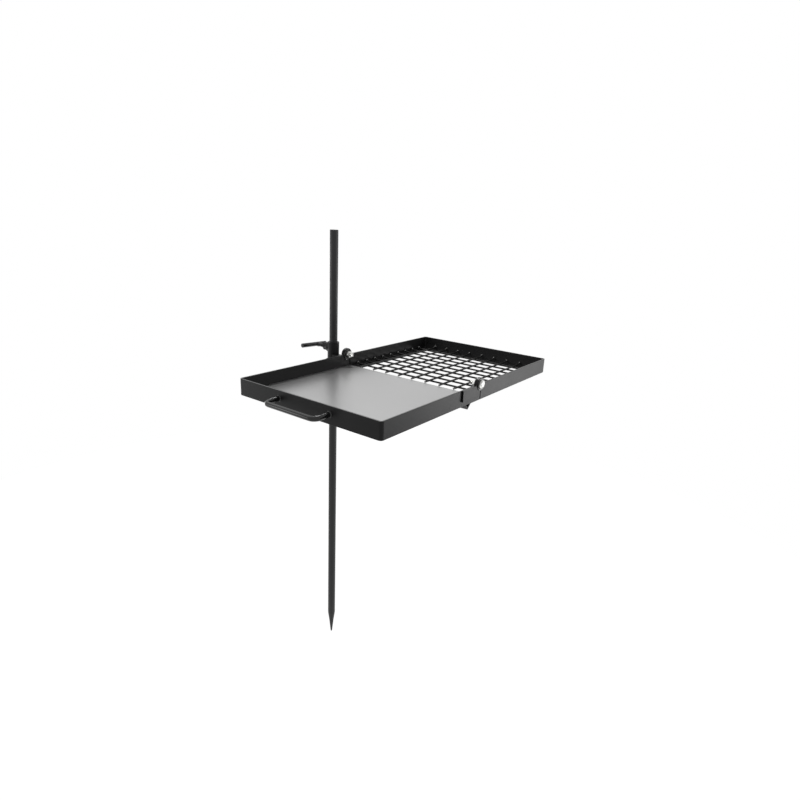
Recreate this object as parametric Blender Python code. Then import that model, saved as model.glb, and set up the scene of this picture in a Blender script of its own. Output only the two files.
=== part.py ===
"""Folding campfire grill on a ground stake.

A solid steel stake carries a clamped stop collar. A sleeve rests on the collar and swivels
round the stake with a two-part cooking tray: a griddle pan that is welded to the sleeve, and
a wire grate that folds up and over the pan on two bolts.

Metres, +Z up. The origin is the point of the stake. The tray runs along X, from the griddle
end with its handle (-X) to the grate end (+X), and lies on the -Y side of the stake.
"""

import math

import bmesh
import bpy
from mathutils import Matrix, Vector

# Stake
STAKE_DIAMETER = 0.018
STAKE_LENGTH = 1.016
POINT_LENGTH = 0.060
POINT_TIP_DIAMETER = 0.003
STAKE_TOP_CHAMFER = 0.0010

# Tube that both the sleeve and the stop collar are cut from
TUBE_WALL = 0.0035
TUBE_RUNNING_GAP = 0.0005
TUBE_END_CHAMFER = 0.0006
SLEEVE_LENGTH = 0.068
SLEEVE_ABOVE_RIM = 0.027
COLLAR_LENGTH = 0.062

# Tray: two equal halves that meet at the joint
RIM_HEIGHT = 0.750
HALF_LENGTH = 0.300
TRAY_WIDTH = 0.340
WALL_HEIGHT = 0.032
WALL_THICKNESS = 0.003
CORNER_RADIUS = 0.006
GRIDDLE_THICKNESS = 0.003
GRIDDLE_ABOVE_WALL_EDGE = 0.004
PIVOT_AHEAD_OF_STAKE = 0.018
JOINT_AHEAD_OF_PIVOT = 0.008
JOINT_GAP = 0.002
WASHER_TO_BLOCK = 0.001
BLOCK_THICKNESS = 0.0071

# Grate: long wires welded on top of cross wires
LEDGE_WIDTH = 0.022
LEDGE_THICKNESS = 0.003
WIRE_DIAMETER = 0.0040
LONG_WIRE_PITCH = 0.0346
CROSS_WIRE_PITCH = 0.0300
FIRST_LONG_WIRE = 0.0368
FIRST_CROSS_WIRE = 0.0259
WIRE_SINK = 0.0010
LEAST_END_OPENING = 0.005
WIRE_END_GAP = 0.0025
WIRE_TURN_UP_RUN = 0.007
WIRE_TURN_UP_RISE = 0.004

# Folding hinge, one on each long side
PIVOT_ABOVE_RIM = 0.0008
HINGE_PLATE_LENGTH = 0.061
HINGE_PLATE_THICKNESS = 0.003
HINGE_PLATE_HEIGHT = 0.022
EAR_RADIUS = 0.0128
LUG_SWEEP_GAP = 0.0006
BOLT_DIAMETER = 0.008
BOLT_HEAD_DIAMETER = 0.0175
BOLT_HEAD_HEIGHT = 0.0050
BOLT_HOLE_GAP = 0.0003
WASHER_DIAMETER = 0.024
WASHER_THICKNESS = 0.0012
NUT_ACROSS_FLATS = 0.013
NUT_THICKNESS = 0.0065
BOLT_PAST_NUT = 0.006

# Cross bar under the griddle: an angle iron lying like a V
CROSS_BAR_LEG = 0.020
CROSS_BAR_THICKNESS = 0.003
CROSS_BAR_BEHIND_JOINT = 0.038

# Carrying handle on the griddle's end wall
HANDLE_ROD = 0.0095
HANDLE_WIDTH = 0.131
HANDLE_REACH = 0.037
HANDLE_BEND_RADIUS = 0.012
HANDLE_BELOW_RIM = 0.0145
HANDLE_DROOP = math.radians(2.5)
WELD_COLLAR = 0.0018

# Clamp screws, each in a nut that is welded to its tube: one with a cross bar, one bent
SCREW_DIAMETER = 0.009
SCREW_HOLE_GAP = 0.0004
SCREW_NUT_ACROSS_FLATS = 0.016
SCREW_NUT_THICKNESS = 0.013
SCREW_WELD_DIAMETER = 0.023
SCREW_WELD_HEIGHT = 0.0055
SCREW_REACH = 0.050
SCREW_BAR_DIAMETER = 0.0095
SCREW_BAR_LENGTH = 0.073
SCREW_BAR_OFFSET = 0.0105
SCREW_BAR_TILT = math.radians(3)
SCREW_BAR_WELD = 0.0010
SLEEVE_SCREW_BELOW_TOP = 0.013
STOP_SCREW_ABOVE_END = 0.018
STOP_SCREW_REACH = 0.0525
STOP_SCREW_ARM = 0.045
STOP_SCREW_BEND_RADIUS = 0.009

# Fits and facets
GAP = 0.0003
LONG_CUT = 0.050
ROUND_STEPS = 40
SMALL_ROUND_STEPS = 28
CORNER_STEPS = 5
WIRE_SIDES = 8

# Places that follow from the sizes above
STAKE_RADIUS = STAKE_DIAMETER / 2
BORE_RADIUS = STAKE_RADIUS + TUBE_RUNNING_GAP
TUBE_RADIUS = BORE_RADIUS + TUBE_WALL
SLEEVE_TOP = RIM_HEIGHT + SLEEVE_ABOVE_RIM
SLEEVE_BOTTOM = SLEEVE_TOP - SLEEVE_LENGTH
COLLAR_TOP = SLEEVE_BOTTOM - GAP
COLLAR_BOTTOM = COLLAR_TOP - COLLAR_LENGTH
TRAY_BOTTOM = RIM_HEIGHT - WALL_HEIGHT
GRIDDLE_UNDERSIDE = TRAY_BOTTOM + GRIDDLE_ABOVE_WALL_EDGE
PIVOT_X = PIVOT_AHEAD_OF_STAKE
JOINT_X = PIVOT_X + JOINT_AHEAD_OF_PIVOT
GRIDDLE_END = JOINT_X - HALF_LENGTH
GRATE_END = JOINT_X + HALF_LENGTH
STAKE_SIDE = -(TUBE_RADIUS + GAP + BLOCK_THICKNESS + GAP + HINGE_PLATE_THICKNESS + GAP)
NEAR_SIDE = STAKE_SIDE - TRAY_WIDTH
TRAY_MIDDLE = (STAKE_SIDE + NEAR_SIDE) / 2
PIVOT_Z = RIM_HEIGHT + PIVOT_ABOVE_RIM
BOLT_HOLE_RADIUS = BOLT_DIAMETER / 2 + BOLT_HOLE_GAP
PLATE_TOP = RIM_HEIGHT
PLATE_BOTTOM = PLATE_TOP - HINGE_PLATE_HEIGHT

# Finishes: base colour, roughness, metallic
BLACK_COAT = ((0.028, 0.028, 0.029), 0.42, 0.0)
GRIDDLE_COAT = ((0.034, 0.034, 0.035), 0.32, 0.0)
WIRE_COAT = ((0.020, 0.020, 0.021), 0.45, 0.0)
ZINC = ((0.72, 0.72, 0.70), 0.28, 1.0)
BLACK_WASHER = ((0.018, 0.018, 0.018), 0.5, 0.0)


def clear_scene():
    for obj in list(bpy.data.objects):
        bpy.data.objects.remove(obj, do_unlink=True)


def material(name, finish):
    colour, roughness, metallic = finish
    made = bpy.data.materials.new(name)
    made.use_nodes = True
    shader = made.node_tree.nodes["Principled BSDF"]
    shader.inputs["Base Color"].default_value = (*colour, 1.0)
    shader.inputs["Roughness"].default_value = roughness
    shader.inputs["Metallic"].default_value = metallic
    made.diffuse_color = (*colour, 1.0)
    return made


def empty(name, place, rotation=None, parent=None):
    """An axis marker: pieces that move together hang from it."""
    marker = bpy.data.objects.new(name, None)
    marker.empty_display_size = 0.03
    marker.parent = parent
    marker.location = place
    if rotation is not None:
        marker.rotation_euler = rotation.to_euler()
    bpy.context.scene.collection.objects.link(marker)
    return marker


def mesh_object(name, shape, smooth_angle=math.radians(35)):
    """Turns a bmesh into an object. The shape is freed."""
    bmesh.ops.recalc_face_normals(shape, faces=shape.faces)
    mesh = bpy.data.meshes.new(name)
    shape.to_mesh(mesh)
    shape.free()
    mesh.shade_smooth()
    mesh.set_sharp_from_angle(angle=smooth_angle)
    made = bpy.data.objects.new(name, mesh)
    bpy.context.scene.collection.objects.link(made)
    return made


def piece(name, shape, finish, parent):
    """A named sub-part whose shape is drawn about its parent's origin."""
    made = mesh_object(name, shape)
    made.parent = parent
    made.data.materials.append(material(name, finish))
    return made


def helper(name, shape, parent):
    """A shape that only cuts or joins another piece."""
    made = mesh_object(name, shape)
    made.parent = parent
    made.hide_render = True
    made.display_type = "WIRE"
    return made


def boolean(target, tool, operation):
    modifier = target.modifiers.new(f"{operation.lower()} {tool.name}", "BOOLEAN")
    modifier.operation = operation
    modifier.object = tool
    modifier.solver = "EXACT"


def box(low, high):
    low, high = Vector(low), Vector(high)
    shape = bmesh.new()
    scale = Matrix.Diagonal((*(high - low), 1.0))
    matrix = Matrix.Translation((low + high) / 2) @ scale
    bmesh.ops.create_cube(shape, size=1.0, matrix=matrix)
    return shape


def turned(profile, steps=ROUND_STEPS, closed=False):
    """Spins a profile of (radius, height) points about Z. A closed profile gives a tube."""
    shape = bmesh.new()
    corners = [shape.verts.new((radius, 0.0, height)) for radius, height in profile]
    pairs = list(zip(corners, corners[1:]))
    if closed:
        pairs.append((corners[-1], corners[0]))
    edges = [shape.edges.new(pair) for pair in pairs]
    bmesh.ops.spin(
        shape,
        geom=corners + edges,
        cent=(0, 0, 0),
        axis=(0, 0, 1),
        angle=2 * math.pi,
        steps=steps,
        use_merge=True,
    )
    bmesh.ops.remove_doubles(shape, verts=shape.verts, dist=1e-6)
    return shape


def rod(radius, low, high, steps=SMALL_ROUND_STEPS, chamfer=0.0):
    """A solid round bar along Z, with chamfered ends if a chamfer is given."""
    if not chamfer:
        return turned([(0, low), (radius, low), (radius, high), (0, high)], steps)
    return turned(
        [
            (0, low),
            (radius - chamfer, low),
            (radius, low + chamfer),
            (radius, high - chamfer),
            (radius - chamfer, high),
            (0, high),
        ],
        steps,
    )


def ring(inner, outer, low, high, steps=ROUND_STEPS, chamfer=0.0):
    """A tube or washer along Z, its outer edges chamfered if a chamfer is given."""
    profile = [(inner, low), (outer - chamfer, low)]
    if chamfer:
        profile += [(outer, low + chamfer), (outer, high - chamfer)]
    profile += [(outer - chamfer, high), (inner, high)]
    return turned(profile, steps, closed=True)


def prism(outline, low, high):
    """Extrudes a flat outline in the XY plane from one height to the other."""
    shape = bmesh.new()
    face = shape.faces.new([shape.verts.new((x, y, low)) for x, y in outline])
    raised = bmesh.ops.extrude_face_region(shape, geom=[face])
    moved = [part for part in raised["geom"] if isinstance(part, bmesh.types.BMVert)]
    bmesh.ops.translate(shape, verts=moved, vec=(0, 0, high - low))
    return shape


def arc(centre, radius, start, end, steps):
    """Points on an arc, both ends included. Angles are in radians."""
    return [
        (
            centre[0] + radius * math.cos(start + (end - start) * step / steps),
            centre[1] + radius * math.sin(start + (end - start) * step / steps),
        )
        for step in range(steps + 1)
    ]


def turn(shape, matrix):
    bmesh.ops.transform(shape, matrix=matrix, verts=shape.verts)
    return shape


def along_y(shape, place=(0, 0, 0)):
    """Lays a shape that was drawn along +Z along +Y, and moves it."""
    lay = Matrix.Rotation(-math.pi / 2, 4, "X")
    return turn(shape, Matrix.Translation(place) @ lay)


def sweep(path, radius, sides):
    """A round bar along a path of points, with flat ends."""
    shape = bmesh.new()
    points = [Vector(point) for point in path]
    count = len(points)
    across = None
    rings = []
    for index, point in enumerate(points):
        before = points[max(index - 1, 0)]
        after = points[min(index + 1, count - 1)]
        forward = (after - before).normalized()
        if across is None:
            across = forward.orthogonal().normalized()
        across = (across - forward * across.dot(forward)).normalized()
        beside = forward.cross(across)
        turns = [2 * math.pi * side / sides for side in range(sides)]
        rings.append(
            [
                shape.verts.new(point + radius * (across * math.cos(t) + beside * math.sin(t)))
                for t in turns
            ]
        )
    for near, far in zip(rings, rings[1:]):
        for side in range(sides):
            other = (side + 1) % sides
            shape.faces.new((near[side], near[other], far[other], far[side]))
    shape.faces.new(list(reversed(rings[0])))
    shape.faces.new(rings[-1])
    return shape


def merged(shapes):
    """Several shapes in one bmesh, each still a body of its own."""
    together = bmesh.new()
    for shape in shapes:
        bmesh.ops.recalc_face_normals(shape, faces=shape.faces)
        scratch = bpy.data.meshes.new("scratch")
        shape.to_mesh(scratch)
        shape.free()
        together.from_mesh(scratch)
        bpy.data.meshes.remove(scratch)
    return together


def hexagon(across_flats):
    corner = across_flats / 2 / math.cos(math.pi / 6)
    return arc((0, 0), corner, 0, 2 * math.pi * 5 / 6, 5)


def wall_outline(end_x, joint_x, inset, thickness):
    """The U of a tray half seen from above: three sides, open at the joint.

    inset is how far the U's outer face lies inside the tray's outer face.
    """
    way = 1 if end_x > joint_x else -1
    reach = abs(end_x - joint_x)
    low, high = NEAR_SIDE, STAKE_SIDE

    def bend(offset, radius, corner_y, start, end):
        centre = (reach - offset - radius, corner_y)
        return arc(centre, radius, start, end, CORNER_STEPS)

    outer, inner = inset, inset + thickness
    big = max(CORNER_RADIUS - outer, 0.0008)
    small = max(CORNER_RADIUS - inner, 0.0005)
    half_pi = math.pi / 2
    points = [(0.0, low + outer)]
    points += bend(outer, big, low + outer + big, -half_pi, 0)
    points += bend(outer, big, high - outer - big, 0, half_pi)
    points += [(0.0, high - outer), (0.0, high - inner)]
    points += bend(inner, small, high - inner - small, half_pi, 0)
    points += bend(inner, small, low + inner + small, 0, -half_pi)
    points += [(0.0, low + inner)]
    return [(joint_x + way * x, y) for x, y in points]


def pivot_cylinder(radius, steps=ROUND_STEPS):
    """A bar across the whole tray on the folding axis, for cutting."""
    span = TRAY_WIDTH + 2 * LONG_CUT
    shape = rod(radius, 0.0, span, steps)
    return along_y(shape, (PIVOT_X, NEAR_SIDE - LONG_CUT, PIVOT_Z))


def make_stake():
    root = empty("stake_axis", (0, 0, 0))
    profile = [
        (0, 0),
        (POINT_TIP_DIAMETER / 2, 0),
        (STAKE_RADIUS, POINT_LENGTH),
        (STAKE_RADIUS, STAKE_LENGTH - STAKE_TOP_CHAMFER),
        (STAKE_RADIUS - STAKE_TOP_CHAMFER, STAKE_LENGTH),
        (0, STAKE_LENGTH),
    ]
    piece("stake", turned(profile), BLACK_COAT, root)
    return root


def screw_bore(name, parent, height):
    """The radial hole that a clamp screw passes through, along +Y from the stake's axis."""
    radius = SCREW_DIAMETER / 2 + SCREW_HOLE_GAP
    shape = along_y(rod(radius, STAKE_RADIUS / 2, TUBE_RADIUS + LONG_CUT), (0, 0, height))
    return helper(name, shape, parent)


def make_tube(name, length, screw_height, parent):
    """A length of tube round the stake, from 0 up to its length, with the hole for its screw."""
    shape = ring(BORE_RADIUS, TUBE_RADIUS, 0.0, length, chamfer=TUBE_END_CHAMFER)
    tube = piece(name, shape, BLACK_COAT, parent)
    boolean(tube, screw_bore(f"{name}_screw_hole", parent, screw_height), "DIFFERENCE")


def make_screw_nut(name, screw_height, parent):
    """The nut that is welded to the tube, saddled on it, with its weld spread at the foot."""
    start = TUBE_RADIUS / 2
    end = TUBE_RADIUS + SCREW_NUT_THICKNESS
    shape = along_y(prism(hexagon(SCREW_NUT_ACROSS_FLATS), start, end), (0, 0, screw_height))
    nut = piece(name, shape, BLACK_COAT, parent)
    foot, neck = SCREW_WELD_DIAMETER / 2, SCREW_NUT_ACROSS_FLATS / 2 - GAP
    deep, top = start + GAP, TUBE_RADIUS + SCREW_WELD_HEIGHT
    bead = [(0, deep), (foot, deep), (foot, TUBE_RADIUS), (neck, top), (0, top)]
    weld = along_y(turned(bead, SMALL_ROUND_STEPS), (0, 0, screw_height))
    boolean(nut, helper(f"{name}_weld", weld, parent), "UNION")
    saddle = rod(TUBE_RADIUS + GAP, screw_height - LONG_CUT, screw_height + LONG_CUT, ROUND_STEPS)
    boolean(nut, helper(f"{name}_saddle", saddle, parent), "DIFFERENCE")
    boolean(nut, screw_bore(f"{name}_bore", parent, screw_height), "DIFFERENCE")


def make_sleeve_screw(parent):
    """The stud with its cross bar. The parent lies on the stake's axis with the stud along +Y."""
    radius, bar_radius = SCREW_DIAMETER / 2, SCREW_BAR_DIAMETER / 2
    start = STAKE_RADIUS + GAP
    wide = radius + SCREW_BAR_WELD
    profile = [
        (0, start),
        (radius - TUBE_END_CHAMFER, start),
        (radius, start + TUBE_END_CHAMFER),
        (radius, SCREW_REACH - 2 * bar_radius),
        (wide, SCREW_REACH - bar_radius),
        (wide, SCREW_REACH - bar_radius / 3),
        (0, SCREW_REACH - bar_radius / 3),
    ]
    screw = piece("sleeve_screw", along_y(turned(profile, SMALL_ROUND_STEPS)), BLACK_COAT, parent)
    low = -SCREW_BAR_LENGTH / 2 - SCREW_BAR_OFFSET
    high = SCREW_BAR_LENGTH / 2 - SCREW_BAR_OFFSET
    turned_by = Matrix.Rotation(math.pi / 2 + SCREW_BAR_TILT, 4, "Y")
    lay = Matrix.Translation((0, SCREW_REACH, 0)) @ turned_by
    bar = turn(rod(bar_radius, low, high, chamfer=TUBE_END_CHAMFER), lay)
    piece("sleeve_screw_bar", bar, BLACK_COAT, parent)
    saddle = turn(rod(bar_radius + GAP, -LONG_CUT, LONG_CUT), lay)
    boolean(screw, helper("sleeve_screw_saddle", saddle, parent), "DIFFERENCE")


def make_stop_screw(parent):
    """The bent screw: a stud along +Y whose end is bent over along +X to turn it by hand."""
    radius, bend = SCREW_DIAMETER / 2, STOP_SCREW_BEND_RADIUS
    line = STOP_SCREW_REACH - radius
    path = [(0.0, STAKE_RADIUS + GAP)]
    path += arc((bend, line - bend), bend, math.pi, math.pi / 2, CORNER_STEPS)
    path += [(STOP_SCREW_ARM, line)]
    shape = sweep([(x, y, 0.0) for x, y in path], radius, SMALL_ROUND_STEPS)
    piece("stop_screw", shape, BLACK_COAT, parent)


def make_stop_collar(stake_root):
    """The collar that clamps on the stake and sets the cooking height."""
    root = empty("collar_axis", (0, 0, COLLAR_BOTTOM), parent=stake_root)
    make_tube("stop_collar", COLLAR_LENGTH, STOP_SCREW_ABOVE_END, root)
    make_screw_nut("stop_collar_nut", STOP_SCREW_ABOVE_END, root)
    screw_root = empty("stop_screw_axis", (0, 0, STOP_SCREW_ABOVE_END), parent=root)
    make_stop_screw(screw_root)


def make_sleeve(swivel):
    """The sleeve that the tray hangs from, and the block that is welded between the two."""
    screw_height = SLEEVE_LENGTH - SLEEVE_SCREW_BELOW_TOP
    make_tube("swivel_sleeve", SLEEVE_LENGTH, screw_height, swivel)
    make_screw_nut("sleeve_nut", screw_height, swivel)
    screw_root = empty("sleeve_screw_axis", (0, 0, screw_height), parent=swivel)
    make_sleeve_screw(screw_root)
    base = SLEEVE_BOTTOM
    outer_face = STAKE_SIDE + GAP + HINGE_PLATE_THICKNESS + GAP
    low = (-TUBE_RADIUS + TUBE_END_CHAMFER, outer_face, PLATE_BOTTOM - base)
    end = min(TUBE_RADIUS - TUBE_END_CHAMFER, PIVOT_X - WASHER_DIAMETER / 2 - WASHER_TO_BLOCK)
    high = (end, -TUBE_RADIUS / 2, PLATE_TOP - base)
    block = piece("sleeve_block", box(low, high), BLACK_COAT, swivel)
    saddle = rod(TUBE_RADIUS + GAP, -LONG_CUT, SLEEVE_LENGTH + LONG_CUT, ROUND_STEPS)
    boolean(block, helper("sleeve_block_saddle", saddle, swivel), "DIFFERENCE")


def make_hinge_plate(name, wall_face, outward, tray):
    """A flat plate with a round ear, on the outside of the griddle's wall."""
    start = PIVOT_X - HINGE_PLATE_LENGTH
    dip = math.asin((PIVOT_Z - PLATE_TOP) / EAR_RADIUS)
    ear = arc((PIVOT_X, PIVOT_Z), EAR_RADIUS, math.pi + dip, -math.pi / 2, ROUND_STEPS // 2)
    outline = [(start, PLATE_BOTTOM), (start, PLATE_TOP)] + ear
    outline += [(PIVOT_X - GAP, PIVOT_Z - EAR_RADIUS), (PIVOT_X - GAP, PLATE_BOTTOM)]
    near_face, far_face = GAP, GAP + HINGE_PLATE_THICKNESS
    flat = prism([(x, z) for x, z in outline], 0.0, far_face - near_face)
    # The outline was drawn with its second coordinate as the height.
    stand = Matrix(((1, 0, 0, 0), (0, 0, 1, 0), (0, 1, 0, 0), (0, 0, 0, 1)))
    first_face = wall_face + (near_face if outward > 0 else -far_face)
    turn(flat, Matrix.Translation((0, first_face, 0)) @ stand)
    plate = piece(name, flat, BLACK_COAT, tray)
    hole = helper(f"{name}_hole", pivot_cylinder(BOLT_HOLE_RADIUS, SMALL_ROUND_STEPS), tray)
    boolean(plate, hole, "DIFFERENCE")


def make_griddle(tray):
    """The pan: a bent wall on three sides, a flat plate, a cross bar and the two hinge plates."""
    joint_side = JOINT_X - JOINT_GAP / 2
    wall = prism(
        wall_outline(GRIDDLE_END, joint_side, 0.0, WALL_THICKNESS), TRAY_BOTTOM, RIM_HEIGHT
    )
    frame = piece("griddle_frame", wall, BLACK_COAT, tray)
    relief = helper("griddle_lug_relief", pivot_cylinder(EAR_RADIUS + LUG_SWEEP_GAP), tray)
    boolean(frame, relief, "DIFFERENCE")

    inset = WALL_THICKNESS + GAP
    radius = CORNER_RADIUS - inset
    reach = GRIDDLE_END + inset
    low, high = NEAR_SIDE + inset, STAKE_SIDE - inset
    outline = [(joint_side, high)]
    outline += arc((reach + radius, high - radius), radius, math.pi / 2, math.pi, CORNER_STEPS)
    outline += arc((reach + radius, low + radius), radius, math.pi, math.pi * 1.5, CORNER_STEPS)
    outline += [(joint_side, low)]
    plate = prism(outline, GRIDDLE_UNDERSIDE, GRIDDLE_UNDERSIDE + GRIDDLE_THICKNESS)
    piece("griddle_plate", plate, GRIDDLE_COAT, tray)

    make_hinge_plate("hinge_plate_stake_side", STAKE_SIDE, 1, tray)
    make_hinge_plate("hinge_plate_near_side", NEAR_SIDE, -1, tray)
    make_cross_bar(tray)


def make_cross_bar(tray):
    """An angle iron on its edge under the griddle plate, from one side wall to the other."""
    half = CROSS_BAR_LEG * math.sqrt(0.5)
    inside = CROSS_BAR_THICKNESS * math.sqrt(2)
    edge = CROSS_BAR_THICKNESS * math.sqrt(0.5)
    outline = [
        (-half, 0),
        (0, -half),
        (half, 0),
        (half - edge, edge),
        (0, -half + inside),
        (-half + edge, edge),
    ]
    inset = WALL_THICKNESS + GAP
    top = GRIDDLE_UNDERSIDE - GAP - edge
    shape = prism(outline, 0.0, TRAY_WIDTH - 2 * inset)
    stand = Matrix(((1, 0, 0, 0), (0, 0, 1, 0), (0, 1, 0, 0), (0, 0, 0, 1)))
    place = Matrix.Translation((JOINT_X - CROSS_BAR_BEHIND_JOINT, NEAR_SIDE + inset, top))
    piece("cross_bar", turn(shape, place @ stand), BLACK_COAT, tray)


def make_handle(tray):
    """A bent rod with two legs on the end wall, each with its weld."""
    radius = HANDLE_ROD / 2
    half = HANDLE_WIDTH / 2 - radius
    reach = HANDLE_REACH - radius
    bend = HANDLE_BEND_RADIUS
    quarter = math.pi / 2
    path = [(0.0, -half)]
    path += arc((reach - bend, -half + bend), bend, -quarter, 0, CORNER_STEPS)
    path += arc((reach - bend, half - bend), bend, 0, quarter, CORNER_STEPS)
    path += [(0.0, half)]
    root = (GRIDDLE_END, TRAY_MIDDLE, RIM_HEIGHT - HANDLE_BELOW_RIM)
    droop = Matrix.Translation(root) @ Matrix.Rotation(-HANDLE_DROOP, 4, "Y")
    shape = sweep([(-x, y, 0.0) for x, y in path], radius, SMALL_ROUND_STEPS // 2)
    handle = piece("handle", turn(shape, droop), BLACK_COAT, tray)
    for side, name in ((1, "handle_weld_a"), (-1, "handle_weld_b")):
        cone = turned(
            [(0, -WELD_COLLAR), (radius + WELD_COLLAR, -WELD_COLLAR), (radius + WELD_COLLAR, 0),
             (radius * 0.98, WELD_COLLAR), (0, WELD_COLLAR)],
            SMALL_ROUND_STEPS // 2,
        )
        lay = Matrix.Translation((root[0], root[1] + side * half, root[2]))
        turn(cone, lay @ Matrix.Rotation(-math.pi / 2, 4, "Y"))
        boolean(handle, helper(name, cone, tray), "UNION")
    span = HANDLE_WIDTH + LONG_CUT
    low = (GRIDDLE_END - GAP, TRAY_MIDDLE - span, TRAY_BOTTOM - LONG_CUT)
    high = (GRIDDLE_END + LONG_CUT, TRAY_MIDDLE + span, RIM_HEIGHT + LONG_CUT)
    boolean(handle, helper("handle_wall_cut", box(low, high), tray), "DIFFERENCE")


def wire_heights():
    """The middle heights of the cross wires, on the ledge, and of the long wires on top."""
    cross = TRAY_BOTTOM + LEDGE_THICKNESS + GAP + WIRE_DIAMETER / 2
    return cross, cross + WIRE_DIAMETER - WIRE_SINK


def long_wire_places():
    """Y of each wire that runs along the tray, from the stake side."""
    room = TRAY_WIDTH - FIRST_LONG_WIRE - WALL_THICKNESS - LEDGE_WIDTH
    count = int(room / LONG_WIRE_PITCH) + 1
    return [STAKE_SIDE - FIRST_LONG_WIRE - LONG_WIRE_PITCH * index for index in range(count)]


def cross_wire_places():
    """X of each wire that runs across the tray, from the joint."""
    ledge = WALL_THICKNESS + LEDGE_WIDTH + LEAST_END_OPENING
    count = int((HALF_LENGTH - FIRST_CROSS_WIRE - ledge) / CROSS_WIRE_PITCH) + 1
    first = JOINT_X + FIRST_CROSS_WIRE
    return [first + CROSS_WIRE_PITCH * index for index in range(count)]


def wire_path(start, end, height, turned_start):
    """(along, height) points of one straight wire whose ends at a wall are turned up."""
    points = [(start, height)]
    if turned_start:
        points = [(start, height + WIRE_TURN_UP_RISE), (start + WIRE_TURN_UP_RUN, height)]
    points += [(end - WIRE_TURN_UP_RUN, height), (end, height + WIRE_TURN_UP_RISE)]
    return points


def make_wire_mesh(grate):
    """Straight wires across the tray, and others along it that are welded on top of them."""
    radius = WIRE_DIAMETER / 2
    cross_height, long_height = wire_heights()
    inner_end = GRATE_END - WALL_THICKNESS - WIRE_END_GAP
    inner_near = NEAR_SIDE + WALL_THICKNESS + WIRE_END_GAP
    inner_stake = STAKE_SIDE - WALL_THICKNESS - WIRE_END_GAP
    joint_end = JOINT_X + JOINT_GAP / 2 + GAP
    long_path = wire_path(joint_end, inner_end, long_height, False)
    cross_path = wire_path(inner_near, inner_stake, cross_height, True)
    along = [
        sweep([(x, y, z) for x, z in long_path], radius, WIRE_SIDES) for y in long_wire_places()
    ]
    across = [
        sweep([(x, y, z) for y, z in cross_path], radius, WIRE_SIDES) for x in cross_wire_places()
    ]
    pivot = Matrix.Translation((-PIVOT_X, 0, -PIVOT_Z))
    mesh = piece("wire_mesh", turn(merged(along), pivot), WIRE_COAT, grate)
    boolean(mesh, helper("cross_wires", turn(merged(across), pivot), grate), "UNION")


def make_grate(grate):
    """The folding half: a bent angle-iron wall with a ledge, a lug at each pivot, and the mesh."""
    joint_side = JOINT_X + JOINT_GAP / 2
    pivot = Matrix.Translation((-PIVOT_X, 0, -PIVOT_Z))
    outline = wall_outline(GRATE_END, joint_side, 0.0, WALL_THICKNESS)
    wall = prism(outline, TRAY_BOTTOM, RIM_HEIGHT)
    frame = piece("grate_frame", turn(wall, pivot), BLACK_COAT, grate)

    root = WALL_THICKNESS / 2
    ledge_outline = wall_outline(GRATE_END, joint_side, root, root + LEDGE_WIDTH)
    ledge = turn(prism(ledge_outline, TRAY_BOTTOM, TRAY_BOTTOM + LEDGE_THICKNESS), pivot)
    boolean(frame, helper("grate_ledge", ledge, grate), "UNION")
    lugs = (("lug_stake_side", STAKE_SIDE), ("lug_near_side", NEAR_SIDE + WALL_THICKNESS))
    for name, wall_face in lugs:
        disc = along_y(rod(EAR_RADIUS, -WALL_THICKNESS, 0.0, ROUND_STEPS), (0, wall_face, 0))
        boolean(frame, helper(name, disc, grate), "UNION")
    drill = turn(pivot_cylinder(BOLT_HOLE_RADIUS, SMALL_ROUND_STEPS), pivot)
    boolean(frame, helper("grate_bolt_holes", drill, grate), "DIFFERENCE")
    make_wire_mesh(grate)


def make_hinge_bolt(side, wall_face, outward, tray):
    """One pivot's fasteners, stacked outwards from the tray wall's outer face."""
    place = Matrix.Translation((PIVOT_X, wall_face, PIVOT_Z))
    lay = place @ Matrix.Rotation(-outward * math.pi / 2, 4, "X")
    washer_start = GAP + HINGE_PLATE_THICKNESS + GAP
    head_start = washer_start + WASHER_THICKNESS + GAP
    inner_washer_end = -WALL_THICKNESS - GAP
    inner_washer_start = inner_washer_end - WASHER_THICKNESS
    nut_end = inner_washer_start - GAP
    nut_start = nut_end - NUT_THICKNESS
    bolt_end = nut_start - BOLT_PAST_NUT
    shank, head = BOLT_DIAMETER / 2, BOLT_HEAD_DIAMETER / 2
    dome = [
        (head * math.cos(angle), head_start + BOLT_HEAD_HEIGHT * (0.15 + 0.85 * math.sin(angle)))
        for angle in (math.pi / 2 * step / 6 for step in range(7))
    ]
    dome[-1] = (0, dome[-1][1])
    chamfer = TUBE_END_CHAMFER
    profile = [(0, bolt_end), (shank - chamfer, bolt_end), (shank, bolt_end + chamfer)]
    profile += [(shank, head_start), (head, head_start)] + dome
    piece(f"hinge_bolt_{side}", turn(turned(profile, SMALL_ROUND_STEPS), lay), ZINC, tray)
    hole = shank + BOLT_HOLE_GAP
    radius = WASHER_DIAMETER / 2
    washers = (
        (f"hinge_washer_outer_{side}", washer_start),
        (f"hinge_washer_inner_{side}", inner_washer_start),
    )
    for name, start in washers:
        shape = ring(hole, radius, start, start + WASHER_THICKNESS, SMALL_ROUND_STEPS)
        piece(name, turn(shape, lay), BLACK_WASHER, tray)
    nut = prism(hexagon(NUT_ACROSS_FLATS), nut_start, nut_end)
    made = piece(f"hinge_nut_{side}", turn(nut, lay), ZINC, tray)
    drill = helper(f"hinge_nut_bore_{side}", pivot_cylinder(hole, SMALL_ROUND_STEPS), tray)
    boolean(made, drill, "DIFFERENCE")


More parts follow.
